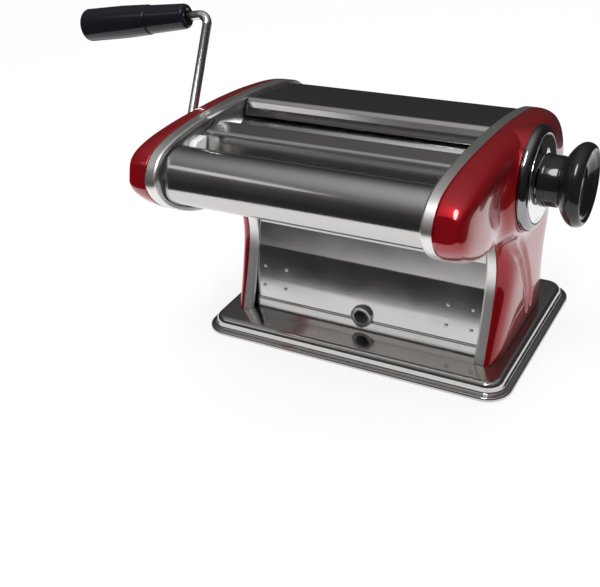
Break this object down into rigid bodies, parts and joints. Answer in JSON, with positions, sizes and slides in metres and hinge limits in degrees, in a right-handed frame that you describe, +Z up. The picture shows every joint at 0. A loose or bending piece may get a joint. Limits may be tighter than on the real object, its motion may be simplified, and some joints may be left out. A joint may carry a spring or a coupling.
{
  "type": "pasta machine",
  "caption": "Hand-cranked pasta machine: smooth sheet rollers with a gap dial, ribbon cutters, glossy side casings, chromed covers and a pressed base.",
  "frame": {"origin": "on the floor, at the centre of the base plate", "axes": "+Z up; -Y to the front, where the cutters are; +X to the gap dial, -X to the crank"},
  "size_m": [0.3283, 0.1889, 0.1958],
  "materials": {
    "chrome_sheet": "polished chromed steel sheet",
    "frame_steel": "zinc-plated steel",
    "cover_red": "glossy candy red",
    "trim_chrome": "polished",
    "rubber_black": "matt",
    "screw_steel": "plated",
    "cheek_white": "smooth white",
    "roller_steel": "satin anodised",
    "cutter_steel": "satin anodised",
    "comb_steel": "satin",
    "bush_bronze": "sintered bronze",
    "gear_steel": "oiled steel",
    "dial_black": "glossy black",
    "dial_chrome": "mirror",
    "knob_black": "satin to glossy black",
    "grip_black": "glossy black",
    "crank_chrome": "polished",
    "spring_steel": "spring wire",
    "rivet_pale": "bright"
  },
  "bodies": {
    "frame": {"base_plate": "chrome_sheet", "rubber_feet": "rubber_black", "base_screws": "screw_steel", "foot_brackets": "frame_steel", "left_side_plate": "frame_steel", "right_side_plate": "frame_steel", "left_side_trim": "trim_chrome", "right_side_trim": "trim_chrome", "left_side_cover": "cover_red", "right_side_cover": "cover_red", "cover_posts": "cover_red", "cover_screws": "screw_steel", "cross_rods": "frame_steel", "cross_rod_nuts": "screw_steel", "front_bar_cover": "chrome_sheet", "center_cover": "chrome_sheet", "rear_cover": "chrome_sheet", "under_cover": "chrome_sheet", "leg_front_panel": "chrome_sheet", "leg_back_panel": "chrome_sheet", "panel_rivets": "rivet_pale", "clamp_socket": "frame_steel", "left_hopper_cheek": "cheek_white", "right_hopper_cheek": "cheek_white", "front_cutter_comb": "comb_steel", "rear_cutter_comb": "comb_steel", "front_roller_scraper": "comb_steel", "rear_roller_scraper": "comb_steel", "drive_bushes": "bush_bronze", "cutter_bushes": "bush_bronze", "eccentric_bush": "bush_bronze", "crank_escutcheon": "dial_black", "cutter_escutcheon": "dial_black", "dial_surround": "cover_red", "dial_housing": "dial_black", "dial_posts": "frame_steel", "dial_disc": "dial_chrome"},
    "drive_train": {"drive_roller": "roller_steel", "drive_gear": "gear_steel", "drive_gear_clip": "screw_steel", "crank_rod": "crank_chrome", "crank_drive_pin": "gear_steel", "grip_retainer": "screw_steel"},
    "grip": {"crank_grip": "grip_black", "grip_cap": "grip_black"},
    "eccentric": {"eccentric_shaft": "frame_steel", "spring_washer": "screw_steel", "spindle_screw": "screw_steel", "knob_spring": "spring_steel"},
    "knob": {"adjusting_knob": "knob_black", "knob_cap": "knob_black", "detent_pin": "screw_steel"},
    "carrier": {"roller_bushes": "bush_bronze"},
    "adjustable_roller": {"adjustable_roller": "roller_steel", "adjustable_gear": "gear_steel"},
    "rear_cutter": {"rear_cutter_roll": "cutter_steel", "rear_cutter_gear": "gear_steel"},
    "front_cutter": {"front_cutter_roll": "cutter_steel", "front_cutter_gear": "gear_steel"}
  },
  "joints": [
    {"name": "crank_turn", "type": "hinge", "parent": "frame", "child": "drive_train", "pos_m": [0, -0.05385, 0.1225], "axis": [1, 0, 0], "continuous": true},
    {"name": "grip_spin", "type": "hinge", "parent": "drive_train", "child": "grip", "pos_m": [-0.10819, -0.00806, 0.19039], "axis": [-0.989, -0.0827, -0.1225], "continuous": true},
    {"name": "dial_turn", "type": "hinge", "parent": "frame", "child": "eccentric", "pos_m": [0, -0.0245, 0.1225], "axis": [1, 0, 0], "range_deg": [0, 160]},
    {"name": "knob_pull", "type": "slide", "parent": "eccentric", "child": "knob", "axis": [1, 0, 0], "range_m": [0, 0.0035], "stiffness_N_per_m": 400, "springref_m": -0.005, "deforming": ["knob_spring"]},
    {"name": "carrier_turn", "type": "hinge", "parent": "eccentric", "child": "carrier", "pos_m": [0, -0.0234, 0.1225], "axis": [1, 0, 0], "range_deg": [-160, 0]},
    {"name": "roller_turn", "type": "hinge", "parent": "carrier", "child": "adjustable_roller", "pos_m": [0, -0.0234, 0.1225], "axis": [1, 0, 0], "continuous": true},
    {"name": "rear_cutter_turn", "type": "hinge", "parent": "frame", "child": "rear_cutter", "pos_m": [0, -0.0803, 0.1198], "axis": [1, 0, 0], "continuous": true},
    {"name": "front_cutter_turn", "type": "hinge", "parent": "frame", "child": "front_cutter", "pos_m": [0, -0.098, 0.1275], "axis": [1, 0, 0], "continuous": true}
  ],
  "couplings": [
    {"joint": "roller_turn", "follows": "crank_turn", "ratio": -1},
    {"joint": "carrier_turn", "follows": "dial_turn", "ratio": -1},
    {"joint": "front_cutter_turn", "follows": "rear_cutter_turn", "ratio": -1}
  ]
}
